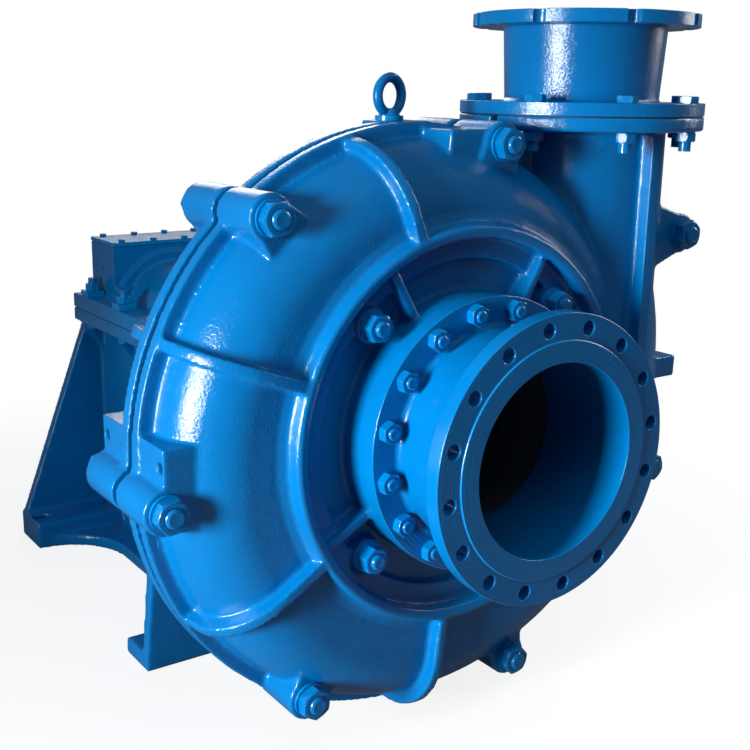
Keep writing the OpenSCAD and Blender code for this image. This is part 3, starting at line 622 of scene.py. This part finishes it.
def nut_mesh(name, flats, high, bore, steps=60):
    turn = [2 * math.pi * i / steps for i in range(steps)]
    hexagon = [flats / 2 / math.cos((t % (math.pi / 3)) - math.pi / 6) for t in turn]
    chamfer = math.tan(math.radians(30))
    face = flats * 0.49                # radius of the flat ring that seats
    lip = 0.001                        # chamfer of the bore
    inward, upward = 0.0004, 0.0006    # the small round under each arc
    rings = []

    def ring(radius, z):
        rings.append([(r * math.cos(t), r * math.sin(t), h) for r, h, t in zip(radius, z, turn)])

    down = [max(0.0, r - face) * chamfer for r in hexagon]
    ring([bore] * steps, [-high / 2 + lip] * steps)
    ring([bore + lip] * steps, [-high / 2] * steps)
    ring([face] * steps, [-high / 2] * steps)
    ring([r - inward for r in hexagon], [-high / 2 + d * 0.9 for d in down])
    ring(hexagon, [-high / 2 + d + upward for d in down])
    ring(hexagon, [high / 2 - d - upward for d in down])
    ring([r - inward for r in hexagon], [high / 2 - d * 0.9 for d in down])
    ring([face] * steps, [high / 2] * steps)
    ring([bore + lip] * steps, [high / 2] * steps)
    ring([bore] * steps, [high / 2 - lip] * steps)
    return ring_mesh(name, rings, False)


def stud_mesh(name, radius, length, pitch, threaded, steps=32):
    half, depth, crest = length / 2, pitch * 0.32, radius - 0.0001
    profile = [(radius * 0.3, -half + 0.0004), (radius * 0.72, -half), (radius * 0.9, -half + pitch * 0.5)]
    turns = int(threaded / pitch)
    for k in range(turns):
        y = -half + pitch * (0.8 + k)
        profile += [(radius - depth, y), (crest, y + pitch * 0.35), (crest, y + pitch * 0.6)]
    profile.append((crest, -half + threaded + 1.5 * pitch))
    profile += [(r, -z) for r, z in reversed(profile)]
    turn = [2 * math.pi * i / steps for i in range(steps)]
    return ring_mesh(name, [[(r * math.cos(t), r * math.sin(t), z) for t in turn] for r, z in profile], True)


print("a nut of 36 mm across its flats is", round(36 / math.cos(math.pi / 6), 1), "mm over its corners")

# %% [markdown]
# ## The tree that repeats them
# One Geometry Nodes tree puts a copy of a pattern at each point it is given, aimed along the bolt and
# turned by chance about its own axis, since no fitter lines up the flats. The seed keeps the turns
# the same each time. The tree ends with real faces, because an export drops instances.

# %% Tree of copies
def make_fitter_tree():
    tree, start, end = group(
        "fit_at_points",
        [("Places", "NodeSocketGeometry", None), ("Pattern", "NodeSocketObject", None),
         ("Finish", "NodeSocketMaterial", None), ("Seed", "NodeSocketInt", 0)],
        [("Fitted", "NodeSocketGeometry")], "GeometryNodeTree")
    link = tree.links.new
    aim = add(tree, "GeometryNodeInputNamedAttribute", {"Name": "aim"}, data_type="FLOAT_VECTOR")
    along = add(tree, "FunctionNodeAlignRotationToVector", axis="Z")
    link(aim.outputs[0], along.inputs["Vector"])
    chance = add(tree, "FunctionNodeRandomValue", data_type="FLOAT")
    chance.inputs["Min"].default_value = 0.0
    chance.inputs["Max"].default_value = math.pi / 3
    link(start.outputs["Seed"], chance.inputs["Seed"])
    about = add(tree, "FunctionNodeAxisAngleToRotation", {"Axis": (0.0, 0.0, 1.0)})
    link(next(s for s in chance.outputs if s.enabled), about.inputs["Angle"])
    turned = add(tree, "FunctionNodeRotateRotation", rotation_space="LOCAL")
    link(along.outputs[0], turned.inputs[0])
    link(about.outputs[0], turned.inputs[1])
    pattern = add(tree, "GeometryNodeObjectInfo", transform_space="ORIGINAL")
    link(start.outputs["Pattern"], pattern.inputs["Object"])
    copies = add(tree, "GeometryNodeInstanceOnPoints")
    link(start.outputs["Places"], copies.inputs["Points"])
    link(pattern.outputs["Geometry"], copies.inputs["Instance"])
    link(turned.outputs[0], copies.inputs["Rotation"])
    solid = add(tree, "GeometryNodeRealizeInstances")
    link(copies.outputs[0], solid.inputs[0])
    paint = add(tree, "GeometryNodeSetMaterial")
    link(solid.outputs[0], paint.inputs["Geometry"])
    link(start.outputs["Finish"], paint.inputs["Material"])
    link(paint.outputs[0], end.inputs["Fitted"])
    return tree


FITTER = make_fitter_tree()
print("tree:", FITTER.name, "with", len(FITTER.nodes), "nodes")

# %% [markdown]
# ## Where the copies go
# The frame holds each set of nuts as one mesh of many separate solids. Walking along the edges from
# one vertex to the next finds all that hangs together, so each solid gives its own box. The middle
# of that box is where a copy goes, and the box also tells how high a nut is and how long a stud.

# %% Places of a set
def solids_of(node):
    """Lowest and highest corner of each separate solid of a node."""
    shell = bmesh.new()
    shell.from_mesh(nodes[node].data)
    bmesh.ops.remove_doubles(shell, verts=shell.verts, dist=1e-5)
    shell.verts.ensure_lookup_table()
    seen, found = set(), []
    for first in shell.verts:
        if first.index in seen:
            continue
        seen.add(first.index)
        queue, points = [first], []
        while queue:
            vertex = queue.pop()
            points.append(vertex.co.copy())
            for edge in vertex.link_edges:
                other = edge.other_vert(vertex)
                if other.index not in seen:
                    seen.add(other.index)
                    queue.append(other)
        found.append((Vector(map(min, zip(*points))), Vector(map(max, zip(*points)))))
    shell.free()
    return sorted(found, key=lambda box: tuple(round(c, 4) for c in box[0]))


def length_along(node, axis):
    """How long one solid of a node is along an axis, to a hundredth of a millimetre."""
    low, high = solids_of(node)[0]
    return round((high - low).dot(Vector(axis)), 5)


SHARP_OVER = math.radians(28)    # edges steeper than this stay crisp


def fit_set(name, node, pattern_mesh, axis, finish, slot, seed):
    """Put a copy of the pattern on each solid of a node, and let the copies stand for it."""
    places = [(low + high) / 2 for low, high in solids_of(node)]
    points = bpy.data.meshes.new(name)
    points.from_pydata([tuple(p) for p in places], [], [])
    aim = points.attributes.new("aim", "FLOAT_VECTOR", "POINT")
    for i in range(len(places)):
        aim.data[i].vector = axis
    piece = bpy.data.objects.new(name, points)
    pattern = bpy.data.objects.new(name + ".pattern", pattern_mesh)
    scene.collection.objects.link(piece)
    scene.collection.objects.link(pattern)
    fit = piece.modifiers.new("fit", "NODES")
    fit.node_group = FITTER
    named = {s.name: s.identifier for s in FITTER.interface.items_tree if s.in_out == "INPUT"}
    fit[named["Pattern"]] = pattern
    fit[named["Finish"]] = finish
    fit[named["Seed"]] = seed
    mesh = finished_mesh(piece, name)
    bpy.data.objects.remove(pattern)
    mesh.shade_smooth()
    mesh.set_sharp_from_angle(angle=SHARP_OVER)
    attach(piece, nodes[node]["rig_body"])
    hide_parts(node)
    print(name, "is", len(places), "copies,", len(mesh.polygons), "faces")


print("casing nuts:", len(solids_of("casing_nuts")), "solids, the first at", solids_of("casing_nuts")[0][0])

# %% [markdown]
# ## The sets of nuts and studs
# Each set takes its places and lengths from the frame. The rest follows from the metric thread, from
# M36 on the casing to M20 at the seal: how wide the nut is across its flats, and the thread's pitch.
# Fasteners on the casing were painted with it, and those at the seal are only oiled.

# %% Fit the sets
ACROSS_FLATS = {36: 0.055, 30: 0.046, 24: 0.036, 20: 0.030}    # metres, by thread
PITCH = {36: 0.004, 30: 0.0035, 24: 0.003, 20: 0.0025}         # metres, by thread
BORE_GAP = 0.0002                                              # between a nut and its stud
ALONG_Y, ALONG_Z = (0.0, 1.0, 0.0), (0.0, 0.0, 1.0)
ENAMELLED, OILED = (FASTENER_PAINT, "fastener_paint"), (OILED_STEEL, "machined_steel")
NUTS = [  # piece, node, thread, axis, finish and slot
    ("casing_nut_set", "casing_nuts", 36, ALONG_Y, ENAMELLED),
    ("liner_nut_set", "liner_nuts", 30, ALONG_Y, ENAMELLED),
    ("suction_nut_set", "suction_nuts", 24, ALONG_Y, ENAMELLED),
    ("joint_nut_set", "discharge_joint_nuts", 24, ALONG_Z, ENAMELLED),
    ("pedestal_nut_set", "pedestal_nuts", 24, ALONG_Y, ENAMELLED),
    ("box_nut_set", "box_nuts", 20, ALONG_Y, OILED),
    ("gland_nut_set", "gland_nuts", 20, ALONG_Y, OILED),
]
STUDS = [  # piece, node, thread, length of the thread, finish and slot
    ("casing_stud_set", "casing_studs", 36, 0.044, ENAMELLED),
    ("liner_stud_set", "liner_studs", 30, 0.040, ENAMELLED),
    ("suction_stud_set", "suction_studs", 24, 0.032, ENAMELLED),
    ("pedestal_stud_set", "pedestal_studs", 24, 0.030, ENAMELLED),
    ("gland_stud_set", "gland_studs", 20, 0.045, OILED),
    ("box_stud_set", "box_studs", 20, 0.030, OILED),
]
for seed, (piece, node, thread, axis, finish) in enumerate(NUTS):
    nut = nut_mesh(piece, ACROSS_FLATS[thread], length_along(node, axis), thread / 2000 + BORE_GAP)
    fit_set(piece, node, nut, axis, *finish, seed)
for seed, (piece, node, thread, threaded, finish) in enumerate(STUDS):
    stud = stud_mesh(piece, thread / 2000, length_along(node, ALONG_Y), PITCH[thread], threaded)
    fit_set(piece, node, stud, ALONG_Y, *finish, seed)

# %% [markdown]
# ## Finishes for the solids that stay
# Smaller pieces keep their exact solids: covers, seals, bearings, shaft and impeller. Only their
# material changes. The record names a finish for each node, so one table of finishes is enough. A
# few small parts by the shaft are oiled and darker, not polished.

# %% Paint the rest
FINISHES = {"casting_paint": CASTING, "pedestal_paint": FRAME_PAINT, "housing_paint": HOUSING_PAINT,
            "fastener_paint": FASTENER_PAINT, "wet_iron": WET_IRON, "machined_steel": STEEL, "bronze": BRONZE,
            "seal_rubber": RUBBER, "packing_fibre": PACKING}
OILED_NODES = {"bearing_cover_bolts", "adjusting_screws", "gland", "release_ring", "bearing_locknut"}
slot_of = {row["node"]: row["material_slot"] for row in frame["record"]["subparts"]}
for name, solid in nodes.items():
    finish = OILED_STEEL if name in OILED_NODES else FINISHES[slot_of[name]]
    solid.data.materials.clear()
    solid.data.materials.append(finish)
print("finished", len(nodes), "solids")

# %% [markdown]
# ## Floor and backdrop
# A product view stands on a pale floor that fades into a white background. Far from the pump the
# floor turns into plain white, so that no horizon shows, while near it the floor keeps the shadow.
# The white is only for the camera and, weakly, for reflections: what lights the pump is the lamps
# and a faint blue from all round.

# %% Floor and backdrop
WHITE = (1.0, 1.0, 1.0, 1.0)
FLOOR_GREY = (0.22, 0.22, 0.22, 1.0)
FAINT_BLUE = (0.45, 0.75, 1.0, 1.0)
REFLECTED = 0.06               # how much of the white surroundings the enamel mirrors
FLOOR_LIFT = 0.84              # how far the floor's shadow is lightened for the camera
FLOOR_REACH = 30.0             # metres from the middle to an edge
FLOOR_DROP = 0.001             # below the feet, so that no two faces share a plane
FADE_FROM, FADE_TO = 1.0, 2.0  # metres from the middle


def seen_share(tree, rays):
    """1 for what the camera sees, REFLECTED for what it sees mirrored."""
    weak = add(tree, "ShaderNodeMath", {1: REFLECTED}, operation="MULTIPLY")
    tree.links.new(rays.outputs["Is Glossy Ray"], weak.inputs[0])
    return reckon(tree, "MAXIMUM", rays.outputs["Is Camera Ray"], weak.outputs[0])


def make_floor():
    mesh = bpy.data.meshes.new("studio_floor")
    corners = [(x * FLOOR_REACH, y * FLOOR_REACH, 0) for x, y in ((-1, -1), (1, -1), (1, 1), (-1, 1))]
    mesh.from_pydata(corners, [], [(0, 1, 2, 3)])
    floor = bpy.data.objects.new("studio_floor", mesh)
    scene.collection.objects.link(floor)
    floor.location.z = -FLOOR_DROP
    material, tree = new_material("studio_floor")
    link = tree.links.new
    out = add(tree, "ShaderNodeOutputMaterial")
    matt = add(tree, "ShaderNodeBsdfDiffuse", {"Color": FLOOR_GREY})
    glow = add(tree, "ShaderNodeEmission", {"Color": WHITE})
    near = add(tree, "ShaderNodeAddShader")
    far = add(tree, "ShaderNodeEmission", {"Color": WHITE, "Strength": 1.0})
    place = add(tree, "ShaderNodeTexCoord")
    away = add(tree, "ShaderNodeVectorMath", operation="LENGTH")
    link(place.outputs["Object"], away.inputs[0])
    fade = remapped(tree, away.outputs["Value"], FADE_FROM, FADE_TO, interpolation_type="SMOOTHSTEP")
    rays = add(tree, "ShaderNodeLightPath")
    lift = add(tree, "ShaderNodeMath", {1: FLOOR_LIFT}, operation="MULTIPLY")
    link(rays.outputs["Is Camera Ray"], lift.inputs[0])
    link(lift.outputs[0], glow.inputs["Strength"])
    link(matt.outputs[0], near.inputs[0])
    link(glow.outputs[0], near.inputs[1])
    shown = add(tree, "ShaderNodeMixShader")
    link(reckon(tree, "MULTIPLY", fade, seen_share(tree, rays)), shown.inputs[0])
    link(near.outputs[0], shown.inputs[1])
    link(far.outputs[0], shown.inputs[2])
    link(shown.outputs[0], out.inputs[0])
    mesh.materials.append(material)
    floor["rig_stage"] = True


def make_world():
    world = bpy.data.worlds.new("studio")
    scene.world = world
    world.use_nodes = True
    tree = world.node_tree
    tree.nodes.clear()
    link = tree.links.new
    out = add(tree, "ShaderNodeOutputWorld")
    white = add(tree, "ShaderNodeBackground", {"Color": WHITE, "Strength": 1.0})
    faint = add(tree, "ShaderNodeBackground", {"Color": FAINT_BLUE, "Strength": 0.14})
    rays = add(tree, "ShaderNodeLightPath")
    shown = add(tree, "ShaderNodeMixShader")
    link(seen_share(tree, rays), shown.inputs[0])
    link(faint.outputs[0], shown.inputs[1])
    link(white.outputs[0], shown.inputs[2])
    link(shown.outputs[0], out.inputs[0])


make_floor()
make_world()
print("floor fades to white from", FADE_FROM, "to", FADE_TO, "m from the middle")

# %% [markdown]
# ## Lamps
# A tall soft lamp from the left gives the long highlight on the casing. Its beam is narrow, so that
# the pedestal stays in shade. A lamp from above fills the top without a highlight of its own, a
# narrow one from the right draws the edge of the pipes, and one from behind lights the drive end.

# %% Lamps
def soft_lamp(name, place, target, width, height, watts, spread, mirrored):
    light = bpy.data.lights.new(name, "AREA")
    light.shape = "RECTANGLE"
    light.size, light.size_y = width, height
    light.energy = watts
    light.spread = math.radians(spread)
    lamp = bpy.data.objects.new(name, light)
    scene.collection.objects.link(lamp)
    lamp.location = place
    lamp.rotation_euler = (Vector(target) - Vector(place)).to_track_quat("-Z", "Y").to_euler()
    lamp.visible_glossy = mirrored


LAMPS = [  # name, place, what it is aimed at, width, height, watts, spread, mirrored in the enamel
    ("key", (-4.2, -1.5, 1.0), (-0.5, -1.3, 0.5), 0.9, 1.5, 36, 50, True),
    ("top", (-0.4, -2.4, 4.0), (0.0, -0.7, 0.6), 2.4, 2.4, 34, 180, False),
    ("rim", (3.4, -1.4, 2.4), (0.3, -0.6, 0.9), 0.4, 2.2, 45, 180, True),
    ("back", (1.8, 3.6, 2.8), (0.0, 0.0, 0.5), 2.0, 2.0, 46, 180, True),
]
for lamp in LAMPS:
    soft_lamp(*lamp)
print(len(LAMPS), "lamps")

# %% [markdown]
# ## Sizes, then the last line
# The box of the dressed pump is printed next to the box of the solids, so that the two can be
# compared after each render.

# %% Print the boxes and finish
look_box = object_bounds()
for label, box in (("solids", cad_box), ("dressed", look_box)):
    print(label, [round(c, 4) for corner in box for c in corner])
